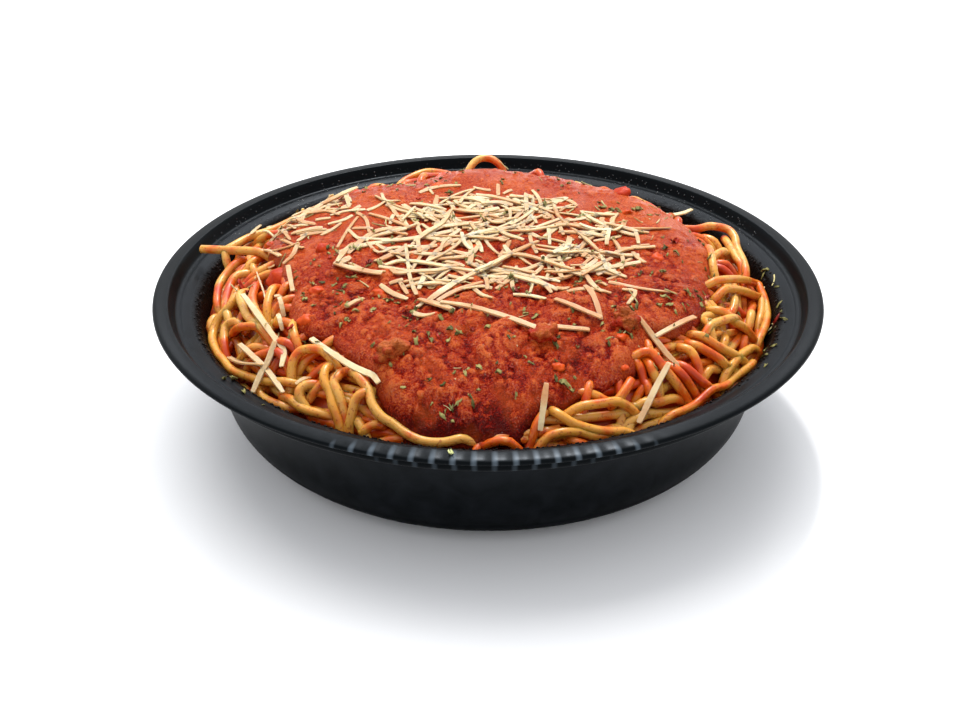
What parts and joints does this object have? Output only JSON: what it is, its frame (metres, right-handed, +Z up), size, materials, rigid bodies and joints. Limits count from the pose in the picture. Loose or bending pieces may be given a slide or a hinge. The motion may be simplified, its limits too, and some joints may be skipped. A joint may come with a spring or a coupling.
{
  "type": "spaghetti bolognese",
  "caption": "Spaghetti bolognese heaped in a round black plastic takeaway bowl, topped with thick meat sauce, grated cheese and dried herbs.",
  "frame": {"origin": "middle of the bowl's flat underside, on the surface it rests on", "axes": "+Z up through the middle of the bowl, -Y towards the diner"},
  "size_m": [0.2286, 0.2286, 0.0657],
  "materials": {
    "black_plastic": "satin black polypropylene, glossier inside",
    "pasta": "boiled wheat pasta, moist, stained orange by the sauce",
    "sauce": "thick wet tomato and beef sauce, glossy",
    "beef": "browned minced beef, coated with sauce",
    "cheese": "grated hard cheese, dry and slightly waxy"
  },
  "bodies": {
    "root": {"bowl": "black_plastic", "spaghetti": "pasta", "meat_sauce": "sauce", "beef_crumble_left": "beef", "beef_crumble_middle": "beef", "beef_crumble_right": "beef", "grated_cheese": "cheese"}
  },
  "joints": []
}
